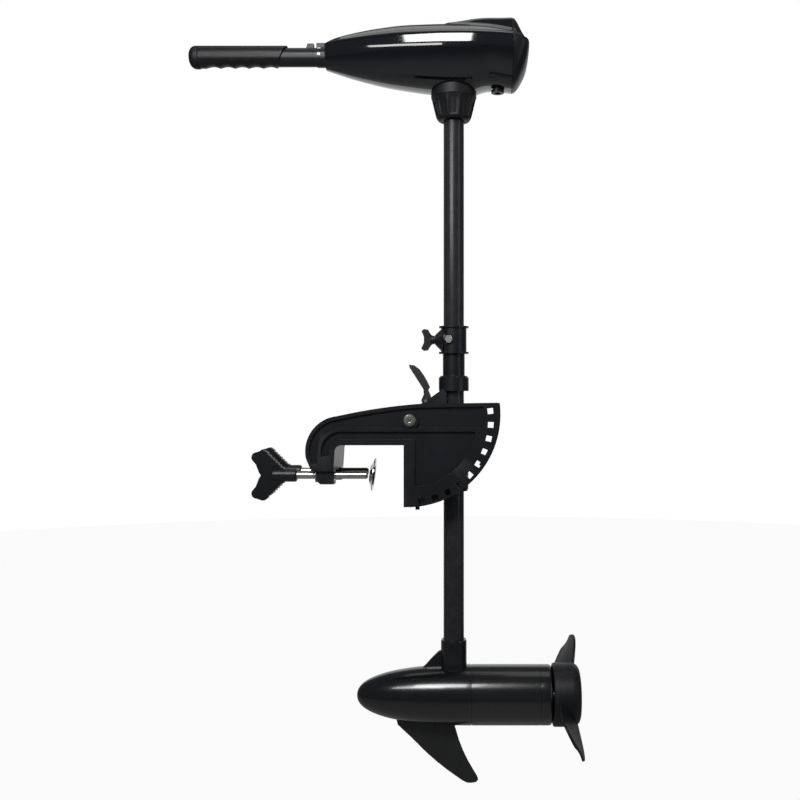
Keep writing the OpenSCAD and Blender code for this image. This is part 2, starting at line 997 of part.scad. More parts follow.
module motor_magnets() {
    color("#3a3b3e")
        difference() {
            rod_x(core_x0 - 4, core_x1 + 4, motor_r - wall, 0, motor_z);
            rod_x(core_x0 - 5, core_x1 + 5, core_r + 1, 0, motor_z);
            for (s = [-1, 1])
                translate([core_x0 - 5, s < 0 ? -60 : 12, motor_z - 60])
                    cube([core_x1 - core_x0 + 10, 48, 120]);
        }
}

module brush_plate() {
    color("#6d5a34")
        difference() {
            rod_x(60, 64, motor_r - wall - 1, 0, motor_z);
            rod_x(59, 65, 17, 0, motor_z);
            rod_z(motor_z + 18, motor_z + 45, shaft_r + 0.5);
        }
}

module brushes() {
    color("#202124")
        for (s = [-1, 1])
            translate([64, -4, motor_z + (s < 0 ? -31 : 14.4)])
                cube([12, 8, 16.6]);
}

module motor_bearings() {
    color(steel)
        for (v = [[12, 19.9, 8], [rear_seam_x, rear_seam_x + 7, 11]])
            difference() {
                rod_x(v[0], v[1], v[2], 0, motor_z);
                rod_x(v[0] - 1, v[1] + 1, 5 + fit, 0, motor_z);
            }
}

module shaft_seals() {
    color("#2a2a2c")
        difference() {
            rod_x(rear_seam_x + 8, cap_x - 0.5, 7.5, 0, motor_z);
            rod_x(rear_seam_x + 7, cap_x, 5 + fit, 0, motor_z);
        }
}

// Rubber rings that seal the two housing joints from inside.
module housing_rings() {
    color("#2a2a2c")
        for (x = [seam_x + 2, rear_seam_x - 4])
            difference() {
                rod_x(x, x + 2, motor_r - wall, 0, motor_z);
                rod_x(x - 1, x + 3, motor_r - wall - 2, 0, motor_z);
            }
}

module through_bolts() {
    color(steel)
        for (s = [-1, 1])
            rod_x(66, rear_seam_x, 2, s * (motor_r - wall - 5), motor_z);
}

module armature_shaft() {
    color(steel)
        difference() {
            rod_x(13, 238, 5, 0, motor_z);
            rod_z(motor_z - 13, motor_z + 13, 2 + 0.02, pin_x);
        }
}

module armature_core() {
    slots = 12;
    color("#7b7d82")
        difference() {
            rod_x(core_x0, core_x1, core_r, 0, motor_z);
            rod_x(core_x0 - 1, core_x1 + 1, 5, 0, motor_z);
            for (k = [0:slots - 1])
                translate([core_x0 - 1, 0, motor_z])
                    rotate([360 * k / slots, 0, 0])
                        translate([0, -1.6, core_r - 9])
                            cube([core_x1 - core_x0 + 2, 3.2, 10]);
        }
}

module armature_windings() {
    color(copper)
        for (v = [[core_x0 - 12, core_x0], [core_x1, core_x1 + 12]])
            difference() {
                rod_x(v[0], v[1], core_r - 3, 0, motor_z);
                rod_x(v[0] - 1, v[1] + 1, 9, 0, motor_z);
            }
}

module commutator() {
    color(copper)
        difference() {
            rod_x(62, 84, 14, 0, motor_z);
            rod_x(61, 85, 5, 0, motor_z);
        }
}

// Blade section at radius r: chord, twist and aft rake follow the radius.
function blade_ring(r) =
    let (u = (r - 36) / (blade_r - 36))
    let (chord = 46 + 26 * sin(115 * u) - 44 * pow(u, 5), twist = blade_pitch - 10 * u)
    let (thick = 3.4 - 1.6 * u, rake = 8 * u * u, lag = 5 * u)
    [
        for (k = [0:15])
            let (a = 360 * k / 16, s = chord / 2 * cos(a), t = thick / 2 * sin(a))
                [
                    224 + rake + s * sin(twist) + t * cos(twist),
                    lag + s * cos(twist) - t * sin(twist),
                    -r
                ]
    ];

module propeller() {
    color(nylon)
        difference() {
            union() {
                turned(concat(
                    [[0, hub_x0], [42, hub_x0], [43.2, hub_x0 + 2]],
                    arc([31.2, hub_x1 - 12], 12, 0, 90, 8),
                    [[0, hub_x1]]
                ));
                for (k = [0:blade_count - 1])
                    translate([0, 0, motor_z])
                        rotate([360 * k / blade_count - blade_turn, 0, 0])
                            loft([
                                for (r = [36, 44, 52, 60, 68, 76, 84, 92, 98, 102, blade_r])
                                    blade_ring(r)
                            ]);
            }
            rod_x(hub_x0 - 1, 220, 34, 0, motor_z);
            rod_x(219, 239, 5, 0, motor_z);
            rod_x(230, hub_x1 + 1, 12, 0, motor_z);
            translate([212, -2.1, motor_z - 14])
                cube([10, 4.2, 28]);
        }
}

module drive_pin() {
    color(steel)
        rod_z(motor_z - 13, motor_z + 13, 2, pin_x);
}

module prop_nut() {
    color(steel)
        difference() {
            translate([230.2, 0, motor_z])
                rotate([0, 90, 0])
                    cylinder(r = 9, h = 7, $fn = 6);
            rod_x(229, 238.5, 5, 0, motor_z);
        }
}

color(nylon) side_plate(-1);  // left_side_plate
color(nylon) side_plate(1);  // right_side_plate
bracket_web();
screw_inserts();
pivot_bolt();
pivot_nut();
pivot_washers();
clamp_pad(-1);  // left_clamp_pad
clamp_rod(-1);  // left_clamp_rod
clamp_handle(-1);  // left_clamp_handle
clamp_pad(1);  // right_clamp_pad
clamp_rod(1);  // right_clamp_rod
clamp_handle(1);  // right_clamp_handle
swivel_arm();
pivot_bushes();
upper_bush();
lower_bush();
release_lever();
lever_pin();
pull_rod();
rod_spring();
lock_bolt();
depth_collar();
collar_screw();
captive_nut();
knob_stud();
depth_knob();
shaft_tube();
motor_leads();
neck_collar();
head_base();
head_cover();
rear_cap();
head_screws();
cable_gland();
circuit_board();
speed_switch();
tiller_tube();
dial_ring();
drive_rod();
grip();
grip_cap();
motor_nose();
motor_tube();
motor_end_cap();
motor_magnets();
brush_plate();
brushes();
motor_bearings();
shaft_seals();
housing_rings();
through_bolts();
armature_shaft();
armature_core();
armature_windings();
commutator();
propeller();
drive_pin();
prop_nut();
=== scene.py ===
# %% [markdown]
# # A transom-mount trolling motor
#
# The moving frame comes packed from the CAD side: every bolt, bush and casting is already there,
# at its real size. This lesson dresses it. Big smooth castings are remodelled with edit-mode
# tools, crisp mouldings get rounded edges, and every finish is a small procedural material.

# %% Load the frame
import json
import math

import bmesh
import bpy
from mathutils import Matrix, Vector


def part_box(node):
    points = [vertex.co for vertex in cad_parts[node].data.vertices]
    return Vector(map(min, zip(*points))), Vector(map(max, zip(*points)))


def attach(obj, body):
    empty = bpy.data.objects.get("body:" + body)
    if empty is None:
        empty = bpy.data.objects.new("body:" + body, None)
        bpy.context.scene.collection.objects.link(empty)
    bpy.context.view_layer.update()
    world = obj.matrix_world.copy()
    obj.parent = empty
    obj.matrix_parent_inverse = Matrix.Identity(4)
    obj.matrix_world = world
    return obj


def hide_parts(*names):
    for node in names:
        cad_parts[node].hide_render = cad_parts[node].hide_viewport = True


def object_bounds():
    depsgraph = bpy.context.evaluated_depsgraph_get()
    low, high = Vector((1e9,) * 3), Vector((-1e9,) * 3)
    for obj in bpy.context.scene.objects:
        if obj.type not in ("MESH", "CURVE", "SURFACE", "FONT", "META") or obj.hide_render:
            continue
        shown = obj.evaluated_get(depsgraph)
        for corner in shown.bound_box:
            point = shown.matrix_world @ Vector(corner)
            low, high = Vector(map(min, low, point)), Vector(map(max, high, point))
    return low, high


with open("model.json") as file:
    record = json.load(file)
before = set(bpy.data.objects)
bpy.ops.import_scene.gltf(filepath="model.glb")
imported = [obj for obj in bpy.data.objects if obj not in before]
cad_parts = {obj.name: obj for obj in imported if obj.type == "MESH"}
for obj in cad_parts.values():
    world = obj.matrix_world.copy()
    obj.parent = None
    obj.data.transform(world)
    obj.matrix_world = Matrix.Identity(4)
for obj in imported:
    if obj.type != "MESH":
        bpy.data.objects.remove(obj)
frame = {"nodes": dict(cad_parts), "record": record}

cad_box = [list(corner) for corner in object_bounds()]

# %% [markdown]
# Lengths in this lesson are written in millimetres and turned into metres by `mm`. The centre
# lines that everything is built around are read from the frame, so nothing has to be fitted.

# %% Centre lines from the frame
MM = 0.001


def mm(*values):
    """Millimetres to metres, as one number or as a vector."""
    return values[0] * MM if len(values) == 1 else Vector(values) * MM


def middle(node):
    low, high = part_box(node)
    return (low + high) / 2


shaft_x = middle("shaft_tube").x
motor_z = middle("motor_tube").z
motor_height = motor_z * 1000  # the same in mm
tiller_z = middle("speed_switch").z
screw_y = middle("right_clamp_rod").y
print("shaft axis x", round(shaft_x, 4), "motor axis z", round(motor_z, 4))

# %% [markdown]
# An operator works on whatever is selected, so each step first clears the selection and then
# picks what it needs by its place. These few helpers are the hands of the whole lesson.

# %% Helpers for selecting
def clear_selection():
    if bpy.context.object and bpy.context.object.mode != "OBJECT":
        bpy.ops.object.mode_set(mode="OBJECT")
    bpy.ops.object.select_all(action="DESELECT")


def edit(piece):
    clear_selection()
    bpy.context.view_layer.objects.active = piece
    piece.select_set(True)
    bpy.ops.object.mode_set(mode="EDIT")
    bpy.ops.mesh.select_all(action="SELECT")


def done():
    bpy.ops.object.mode_set(mode="OBJECT")


def selected_verts(piece):
    """The numbers of the selected vertices of the edited piece."""
    work = bmesh.from_edit_mesh(piece.data)
    work.verts.index_update()
    return {v.index for v in work.verts if v.select}


def pick(piece, kind, test):
    """Selects the verts, edges or faces of the edited piece that pass a test, and counts them."""
    bpy.ops.mesh.select_mode(type={"verts": "VERT", "edges": "EDGE", "faces": "FACE"}[kind])
    bpy.ops.mesh.select_all(action="DESELECT")
    work = bmesh.from_edit_mesh(piece.data)
    work.verts.index_update()
    count = 0
    for item in getattr(work, kind):
        if test(item):
            item.select_set(True)
            count += 1
    work.select_flush_mode()
    bmesh.update_edit_mesh(piece.data)
    return count


# %% Helpers for making and growing a shape
def take_new(name):
    """Names the object just added and turns its place into its mesh."""
    piece = bpy.context.object
    piece.name = name
    bpy.ops.object.transform_apply(location=True, rotation=True, scale=True)
    return piece


def lying_cylinder(name, sides, radius, length, centre):
    """A cylinder along X."""
    clear_selection()
    bpy.ops.mesh.primitive_cylinder_add(vertices=sides, radius=radius, depth=length, end_fill_type="NGON",
                                        location=centre, rotation=(0, math.pi / 2, 0))
    return take_new(name)


def extrude(step):
    """Extrudes the selection of the edited piece by this step."""
    bpy.ops.mesh.extrude_region_move(TRANSFORM_OT_translate={"value": step})


# %% [markdown]
# A finished piece sits at the origin with its place in its mesh, as the frame's own nodes do.
# `finish` tidies the mesh, smooths it, gives it a finish, hides the CAD nodes that it stands for
# and ties it to the body that carries it.

# %% Helpers for finishing a piece
def use(piece, kind, **settings):
    """Adds a modifier with these settings and applies it."""
    clear_selection()
    bpy.context.view_layer.objects.active = piece
    piece.select_set(True)
    modifier = piece.modifiers.new(kind.lower(), kind)
    for name, value in settings.items():
        setattr(modifier, name, value)
    bpy.ops.object.modifier_apply(modifier=modifier.name)


def bevel(piece, width, segments, angle):
    """Rounds every edge sharper than the angle in degrees, by a width in mm."""
    use(piece, "BEVEL", width=mm(width), segments=segments, limit_method="ANGLE",
        angle_limit=math.radians(angle), use_clamp_overlap=True)


def mend(piece):
    """Merges vertices that touch and turns every face outwards."""
    edit(piece)
    bpy.ops.mesh.remove_doubles(threshold=mm(0.002))
    bpy.ops.mesh.normals_make_consistent(inside=False)
    done()


def finish(piece, finish_name, body, nodes=(), angle=35):
    """Smooths a piece up to the angle, gives it its finish and ties it to its body and nodes."""
    assert len(piece.data.polygons) > 0, piece.name + " has no faces"
    clear_selection()
    bpy.context.view_layer.objects.active = piece
    piece.select_set(True)
    bpy.ops.object.shade_smooth_by_angle(angle=math.radians(angle))
    use(piece, "WEIGHTED_NORMAL", weight=100, keep_sharp=True)
    piece.data.materials.clear()
    piece.data.materials.append(finishes[finish_name])
    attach(piece, body)
    if nodes:
        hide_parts(*nodes)
    size = piece.dimensions * 1000
    extent = " x ".join(str(round(length, 1)) for length in size)
    print(piece.name, "is", extent, "mm,", len(piece.data.polygons), "faces")
    return piece


# %% [markdown]
# ## Finishes
#
# Nearly everything on this motor is black, and it is the surface that tells one black from
# another: polished covers, satin painted metal and grained nylon. One node group makes a moulded
# grain, and another finds worn edges and settled dust. Each finish then mixes them in its own way.

# %% Node helpers
def new_group(name, inputs, outputs):
    group = bpy.data.node_groups.new(name, "ShaderNodeTree")
    for label, kind, value in inputs:
        socket = group.interface.new_socket(label, in_out="INPUT", socket_type=kind)
        if value is not None:
            socket.default_value = value
    for label, kind in outputs:
        group.interface.new_socket(label, in_out="OUTPUT", socket_type=kind)
    return group, group.nodes.new("NodeGroupInput"), group.nodes.new("NodeGroupOutput")


def add(tree, kind, links=(), **settings):
    """Adds a node, sets its properties and sockets, and links sockets from other nodes' outputs."""
    node = tree.nodes.new(kind)
    for name, value in settings.items():
        if hasattr(node, name):
            setattr(node, name, value)
        else:
            node.inputs[name.replace("_", " ")].default_value = value
    for socket, source in dict(links).items():
        tree.links.new(source, node.inputs[socket])
    return node


def combine(tree, operation, first, second, **settings):
    """A Math node that joins two outputs."""
    return add(tree, "ShaderNodeMath", {0: first, 1: second}, operation=operation, **settings)


# %% The moulded grain group
def make_grain_group():
    group, inside, out = new_group(
        "moulded_grain",
        [("Coordinates", "NodeSocketVector", None), ("Scale", "NodeSocketFloat", 900.0),
         ("Pits", "NodeSocketFloat", 0.5)],
        [("Height", "NodeSocketFloat"), ("Mottle", "NodeSocketFloat")],
    )
    where = inside.outputs["Coordinates"]
    scaled = {"Vector": where, "Scale": inside.outputs["Scale"]}
    fine = add(group, "ShaderNodeTexNoise", scaled, Detail=3.0, Roughness=0.6)
    cells = add(group, "ShaderNodeTexVoronoi", scaled, Randomness=1.0)
    pits = combine(group, "MULTIPLY", cells.outputs["Distance"], inside.outputs["Pits"])
    height = combine(group, "ADD", fine.outputs["Fac"], pits.outputs[0])
    broad = add(group, "ShaderNodeTexNoise", {"Vector": where}, Scale=35.0, Detail=4.0, Roughness=0.55)
    group.links.new(height.outputs[0], out.inputs["Height"])
    group.links.new(broad.outputs["Fac"], out.inputs["Mottle"])
    return group


# %% The wear group
def make_wear_group():
    group, inside, out = new_group(
        "edge_wear",
        [("Coordinates", "NodeSocketVector", None), ("Edge", "NodeSocketFloat", 0.5),
         ("Dust", "NodeSocketFloat", 0.3)],
        [("Worn", "NodeSocketFloat"), ("Dusty", "NodeSocketFloat")],
    )
    where = inside.outputs["Coordinates"]
    shape = add(group, "ShaderNodeNewGeometry")
    ridge = add(group, "ShaderNodeMapRange", {"Value": shape.outputs["Pointiness"]},
                From_Min=0.53, From_Max=0.66)
    patch = add(group, "ShaderNodeTexNoise", {"Vector": where}, Scale=60.0, Detail=6.0, Roughness=0.7)
    broken = combine(group, "MULTIPLY", ridge.outputs[0], patch.outputs["Fac"])
    worn = combine(group, "MULTIPLY", broken.outputs[0], inside.outputs["Edge"])
    split = add(group, "ShaderNodeSeparateXYZ", {0: shape.outputs["Normal"]})
    upward = add(group, "ShaderNodeMapRange", {"Value": split.outputs["Z"]}, From_Min=0.2)
    speck = add(group, "ShaderNodeTexNoise", {"Vector": where}, Scale=420.0, Detail=2.0)
    fleck = add(group, "ShaderNodeMapRange", {"Value": speck.outputs["Fac"]}, From_Min=0.56, From_Max=0.75)
    settled = combine(group, "MULTIPLY", upward.outputs[0], fleck.outputs[0])
    dusty = combine(group, "MULTIPLY", settled.outputs[0], inside.outputs["Dust"])
    group.links.new(worn.outputs[0], out.inputs["Worn"])
    group.links.new(dusty.outputs[0], out.inputs["Dusty"])
    return group


grain_group = make_grain_group()
wear_group = make_wear_group()
finishes = {}
print("node groups:", grain_group.name, wear_group.name)


# %% [markdown]
# A finish is a base colour that the mottle darkens or lightens, a paler colour where edges are
# worn, a grey where dust has settled, a roughness that wanders a little, and a bump. Metals also
# get drawn lines: the same noise, stretched along one axis by a Mapping node.

# %% One function for every finish
COLOUR_A, COLOUR_B, COLOUR_OUT = 6, 7, 2  # the colour sockets of a Mix node
DUST_COLOUR = (0.2, 0.2, 0.19, 1.0)


def mix_colour(tree, factor, first, second):
    """A colour Mix node over a first colour from another node, with a fixed second colour."""
    mix = add(tree, "ShaderNodeMix", {"Factor": factor, COLOUR_A: first}, data_type="RGBA")
    mix.inputs[COLOUR_B].default_value = second
    return mix.outputs[COLOUR_OUT]


def make_finish(name, dark, light, rough, spread=0.06, grain=900.0, bump=0.1, pits=0.5, metal=0.0,
                coat=0.0, edge=0.35, dust=0.25, worn=(0.12, 0.12, 0.125, 1.0), lines=None, level=0.5):
    material = bpy.data.materials.new(name)
    material.use_nodes = True
    tree = material.node_tree
    shader = tree.nodes["Principled BSDF"]
    shader.inputs["Metallic"].default_value = metal
    shader.inputs["Coat Weight"].default_value = coat
    shader.inputs["Coat Roughness"].default_value = 0.06
    shader.inputs["Specular IOR Level"].default_value = level
    where = add(tree, "ShaderNodeTexCoord").outputs["Object"]
    texture = add(tree, "ShaderNodeGroup", {"Coordinates": where}, node_tree=grain_group,
                  Scale=grain, Pits=pits)
    wear = add(tree, "ShaderNodeGroup", {"Coordinates": where}, node_tree=wear_group, Edge=edge, Dust=dust)
    mottle = texture.outputs["Mottle"]
    base = add(tree, "ShaderNodeMix", {"Factor": mottle}, data_type="RGBA")
    base.inputs[COLOUR_A].default_value = (*dark, 1.0)
    base.inputs[COLOUR_B].default_value = (*light, 1.0)
    rubbed = mix_colour(tree, wear.outputs["Worn"], base.outputs[COLOUR_OUT], worn)
    dusted = mix_colour(tree, wear.outputs["Dusty"], rubbed, DUST_COLOUR)
    tree.links.new(dusted, shader.inputs["Base Color"])
    smoothest = max(rough - spread, 0.02)
    shine = add(tree, "ShaderNodeMapRange", {"Value": mottle}, To_Min=smoothest, To_Max=rough + spread)
    dull = combine(tree, "ADD", wear.outputs["Dusty"], shine.outputs[0], use_clamp=True)
    tree.links.new(dull.outputs[0], shader.inputs["Roughness"])
    height = texture.outputs["Height"]
    if lines:
        stretch = add(tree, "ShaderNodeMapping", {"Vector": where}, Scale=lines)
        drawn = add(tree, "ShaderNodeTexNoise", {"Vector": stretch.outputs[0]}, Scale=1.0, Detail=3.0)
        height = combine(tree, "ADD", drawn.outputs["Fac"], height).outputs[0]
    relief = add(tree, "ShaderNodeBump", {"Height": height}, Strength=bump, Distance=mm(0.12))
    tree.links.new(relief.outputs[0], shader.inputs["Normal"])
    finishes[name] = material


# %% The black finishes
make_finish("nylon_satin", (0.0055, 0.006, 0.008), (0.0095, 0.01, 0.0125), 0.36,
            bump=0.22, grain=1100.0, level=0.35)
make_finish("nylon_matte", (0.005, 0.0052, 0.0062), (0.0085, 0.0088, 0.0105), 0.48,
            bump=0.3, grain=900.0, level=0.3)
make_finish("lever_grain", (0.008, 0.008, 0.009), (0.015, 0.015, 0.016), 0.5,
            bump=0.9, grain=420.0, pits=1.6)
make_finish("grip_rubber", (0.006, 0.006, 0.007), (0.01, 0.01, 0.0115), 0.4,
            bump=0.25, grain=1300.0, dust=0.2, level=0.3)
make_finish("polished_cover", (0.0028, 0.0032, 0.0045), (0.004, 0.0045, 0.006), 0.1, spread=0.025,
            bump=0.015, grain=180.0, coat=0.6, edge=0.15, dust=0.0)
make_finish("motor_paint", (0.004, 0.0042, 0.005), (0.0065, 0.0068, 0.008), 0.2, spread=0.04,
            bump=0.05, grain=260.0, coat=0.35, edge=0.25, dust=0.02)
make_finish("shaft_coating", (0.005, 0.005, 0.006), (0.008, 0.008, 0.0095), 0.26, bump=0.12,
            grain=500.0, lines=(900.0, 900.0, 14.0), dust=0.1, level=0.32)
make_finish("skeg_nylon", (0.007, 0.0072, 0.008), (0.0115, 0.012, 0.013), 0.46, bump=0.2, grain=800.0)
make_finish("black_rubber", (0.01, 0.01, 0.01), (0.016, 0.016, 0.016), 0.7, bump=0.3)
print(len(finishes), "black finishes")

# %% The metals and the inner finishes
make_finish("stainless", (0.4, 0.39, 0.37), (0.55, 0.54, 0.51), 0.3, metal=1.0, bump=0.12, grain=700.0,
            edge=0.2, dust=0.1, worn=(0.8, 0.8, 0.8, 1), lines=(20.0, 1400.0, 1400.0))
make_finish("chrome", (0.72, 0.73, 0.75), (0.8, 0.81, 0.83), 0.07, spread=0.02, metal=1.0, bump=0.01,
            edge=0.1, dust=0.08, worn=(0.85, 0.85, 0.86, 1))
make_finish("white_nylon", (0.55, 0.53, 0.48), (0.68, 0.66, 0.6), 0.45, bump=0.1, worn=(0.8, 0.8, 0.78, 1))
make_finish("copper", (0.5, 0.2, 0.08), (0.7, 0.34, 0.16), 0.3, metal=1.0, bump=0.3,
            lines=(2600.0, 300.0, 300.0), worn=(0.8, 0.5, 0.3, 1))
make_finish("steel_core", (0.22, 0.23, 0.25), (0.34, 0.35, 0.37), 0.4, metal=1.0, bump=0.4,
            lines=(3000.0, 10.0, 10.0))
make_finish("ferrite", (0.05, 0.05, 0.055), (0.09, 0.09, 0.095), 0.7, bump=0.5)
make_finish("board", (0.01, 0.09, 0.03), (0.02, 0.14, 0.05), 0.35, bump=0.15, grain=300.0)
make_finish("carbon", (0.015, 0.015, 0.015), (0.03, 0.03, 0.03), 0.6, bump=0.3)
make_finish("phenolic", (0.16, 0.09, 0.04), (0.25, 0.15, 0.07), 0.5, bump=0.3)
make_finish("wire_red", (0.3, 0.01, 0.01), (0.42, 0.02, 0.02), 0.4, bump=0.05)
make_finish("dial_print", (0.7, 0.7, 0.69), (0.82, 0.82, 0.8), 0.4, bump=0.05, worn=(0.5, 0.5, 0.5, 1))
print(len(finishes), "finishes in all")

# %% [markdown]
# Every node of the frame gets a finish from its material slot. Most of the nodes seen from
# outside are remodelled below, and those inside keep these finishes.

# %% Finishes for the frame's own nodes
node_finish = {"lock_bolt": "motor_paint", "head_screws": "motor_paint"}
slot_finish = {
    "nylon": "nylon_satin", "gloss_black": "polished_cover", "black_paint": "motor_paint",
    "shaft_coat": "shaft_coating", "stainless": "stainless", "chrome": "chrome",
    "white_nylon": "white_nylon", "copper": "copper", "steel_core": "steel_core",
    "ferrite": "ferrite", "board": "board", "black_rubber": "black_rubber", "carbon": "carbon",
    "phenolic": "phenolic", "wire_red": "wire_red",
}
node_slot = {part["node"]: part["material_slot"] for part in frame["record"]["subparts"]}
body_nodes = frame["record"]["behaviour"]["bodies"]
node_body = {name: body for body, names in body_nodes.items() for name in names}
for name, piece in frame["nodes"].items():
    piece.data.materials.clear()
    piece.data.materials.append(finishes[node_finish.get(name, slot_finish[node_slot[name]])])
print("finishes given to", len(frame["nodes"]), "nodes")

# %% [markdown]
# ## Camera and light
#
# The camera stands a little above the bracket, 1.35 metres away, with a normal lens. Black plastic
# shows only what it reflects, so the light is a set of soft panels: they draw the long highlights
# along the cover and the motor.

# %% The camera
lens_mm = 43.4
frame_shift = -0.0875
camera_data = bpy.data.cameras.new("camera")
camera = bpy.data.objects.new("camera", camera_data)
bpy.context.scene.collection.objects.link(camera)
camera.location = mm(89.4, -1350, 102.3)
camera.rotation_euler = (math.radians(90), 0, 0)
camera_data.sensor_width = 36
camera_data.lens = lens_mm
camera_data.shift_x = frame_shift
bpy.context.scene.camera = camera
print("camera at", [round(v, 3) for v in camera.location])


# %% The soft panels
def panel(name, place, aim, width, height, power):
    """A soft rectangular light in metres and watts, turned from its place towards its aim."""
    light = bpy.data.lights.new(name, "AREA")
    light.shape = "RECTANGLE"
    light.size = width
    light.size_y = height
    light.energy = power
    holder = bpy.data.objects.new(name, light)
    bpy.context.scene.collection.objects.link(holder)
    holder.location = place
    holder.rotation_euler = (Vector(aim) - Vector(place)).to_track_quat("-Z", "Y").to_euler()
    holder.visible_camera = False


panel("key_panel", (-0.25, -1.5, 1.45), (0.0, 0.0, 0.0), 0.75, 0.5, 20)
panel("cover_panel", (-0.34, -0.9, 0.62), (0.0, 0.0, 0.58), 0.55, 0.26, 4.5)
panel("side_panel", (1.7, -0.9, 0.5), (0.05, 0.0, 0.1), 0.4, 1.6, 3)
panel("top_panel", (0.1, 0.4, 2.1), (0.05, 0.0, 0.3), 1.6, 1.0, 4)
panel("back_panel", (0.15, 2.2, 0.1), (0.05, 0.0, 0.1), 3.0, 2.4, 16)
print("five soft panels")

# %% The floor and the surroundings
world = bpy.data.worlds.new("studio")
bpy.context.scene.world = world
world.use_nodes = True
sky = world.node_tree
sky.nodes.clear()
seen = add(sky, "ShaderNodeBackground", Color=(1.0, 1.0, 1.0, 1.0), Strength=1.0)
around = add(sky, "ShaderNodeBackground", Color=(0.9, 0.95, 1.0, 1.0), Strength=0.12)
path = add(sky, "ShaderNodeLightPath")
either = add(sky, "ShaderNodeMixShader",
             {0: path.outputs["Is Camera Ray"], 1: around.outputs[0], 2: seen.outputs[0]})
add(sky, "ShaderNodeOutputWorld", {"Surface": either.outputs[0]})

clear_selection()
floor_drop = 0.35  # metres between the skeg and the floor
floor_z = cad_box[0][2] - floor_drop
bpy.ops.mesh.primitive_circle_add(vertices=96, radius=6.0, fill_type="NGON", location=(0, 0, floor_z))
floor = bpy.context.object
floor.name = "floor"
pale = bpy.data.materials.new("pale_floor")
pale.use_nodes = True
ground = pale.node_tree
ground.nodes.clear()
matte = add(ground, "ShaderNodeBsdfDiffuse", Color=(0.5, 0.5, 0.5, 1))
lit = add(ground, "ShaderNodeEmission", Strength=0.96)
eye = add(ground, "ShaderNodeLightPath")
blend = add(ground, "ShaderNodeMixShader",
            {0: eye.outputs["Is Camera Ray"], 1: matte.outputs[0], 2: lit.outputs[0]})
add(ground, "ShaderNodeOutputMaterial", {"Surface": blend.outputs[0]})
floor.data.materials.append(pale)
bpy.context.scene.view_settings.view_transform = "Standard"
print("floor at", round(floor_z, 3))

# %% [markdown]
# ## Crisp mouldings
#
# A moulded bracket is nearly what the CAD says, but no real edge is a mathematical line. Each of
# these pieces starts as a copy of its node: the loose triangles are merged, flat regions are
# dissolved back into whole faces, and a narrow bevel rounds every sharp edge so that it catches
# the light.

# %% Rounding the edges of a copied node
def rounded(node, width, finish_name, segments=2, angle=35):
    """A copy of a node with its sharp edges rounded, which stands for the node."""
    source = frame["nodes"][node]
    piece = source.copy()
    piece.data = source.data.copy()
    piece.name = node + "_moulding"
    bpy.context.scene.collection.objects.link(piece)
    piece.parent = None
    piece.matrix_world.identity()
    edit(piece)
    bpy.ops.mesh.remove_doubles(threshold=mm(0.004))
    bpy.ops.mesh.dissolve_limited(angle_limit=math.radians(0.8))
    done()
    bevel(piece, width, segments, angle)
    finish(piece, finish_name, node_body[node], [node], angle)


# %% The bracket, the arm and the collars
for name in ("left_side_plate", "right_side_plate", "bracket_web"):
    rounded(name, 0.9, "nylon_satin", segments=3)
for name in ("swivel_arm", "depth_collar", "upper_bush", "lower_bush"):
    rounded(name, 0.6, "nylon_satin")
rounded("release_lever", 1.2, "lever_grain", segments=3)
rounded("depth_knob", 1.0, "nylon_matte", segments=3)
for name in ("tiller_tube", "dial_ring", "cable_gland"):
    rounded(name, 0.5, "nylon_satin")
for name in ("pivot_bolt", "pivot_nut", "pivot_washers", "captive_nut", "collar_screw",
             "screw_inserts", "prop_nut"):
    rounded(name, 0.3, "stainless")

# %% [markdown]
# ## Clamp screw handles
#
# Each clamp rod ends in a butterfly handle: two rounded lobes with a V between them, and teeth
# along the flanks for wet fingers. The outline is walked point by point from one vertex, closed
# into a face, extruded to its thickness and bevelled.

# %% Walking an outline
def outline(name, points):
    """A line through the points, drawn by extruding one vertex from point to point."""
    clear_selection()
    bpy.ops.mesh.primitive_plane_add(size=mm(1), location=points[0])
    piece = take_new(name)
    bpy.ops.object.mode_set(mode="EDIT")
    bpy.ops.mesh.select_mode(type="VERT")
    bpy.ops.mesh.select_all(action="SELECT")
    bpy.ops.mesh.merge(type="CENTER")
    for here, there in zip(points, points[1:]):
        extrude(Vector(there) - Vector(here))
    return piece


def plate(name, points, depth):
    """A flat plate of the given thickness along +Y, from an outline drawn at its near face."""
    piece = outline(name, points)
    bpy.ops.mesh.select_all(action="SELECT")
    bpy.ops.mesh.edge_face_add()
    extrude((0, depth, 0))
    done()
    mend(piece)
    return piece


# %% The butterfly handles
def lobe(x, z, r, first, last, steps=8):
    """An arc about (x, z) from the first angle to the last, in degrees."""
    turns = [math.radians(first + (last - first) * i / steps) for i in range(steps + 1)]
    return [(x + r * math.cos(turn), z + r * math.sin(turn)) for turn in turns]


def flank(start, end, teeth, height):
    """A toothed line from start to end, each tooth rising to its left."""
    run = Vector(end) - Vector(start)
    out = Vector((-run.y, run.x)).normalized()
    line = []
    for i in range(teeth):
        for share, rise in ((0.0, 0.0), (0.3, 1.0), (0.75, 1.0), (0.95, 0.0)):
            point = Vector(start) + run * (i + share) / teeth + out * rise * height
            line.append((point.x, point.y))
    return line


def handle_outline(tip):
    """The wings' outline in X and Z, with tip the X of the lobes' ends."""
    upper = flank((tip + 43.0, 10.5), (tip + 22.5, 30.5), 6, 1.2)
    upper += lobe(tip + 15.8, 28.2, 5.9, 65, 112)
    upper += lobe(tip + 7.2, 24.4, 7.2, 92, 208)
    upper += [(tip + 6.0, 15.0), (tip + 10.4, 3.6), (tip + 12.4, 1.0)]
    lower = [(x, -z) for x, z in reversed(upper)]
    return [(tip + 45.0, 8.4)] + upper + lower + [(tip + 45.0, -8.4)]


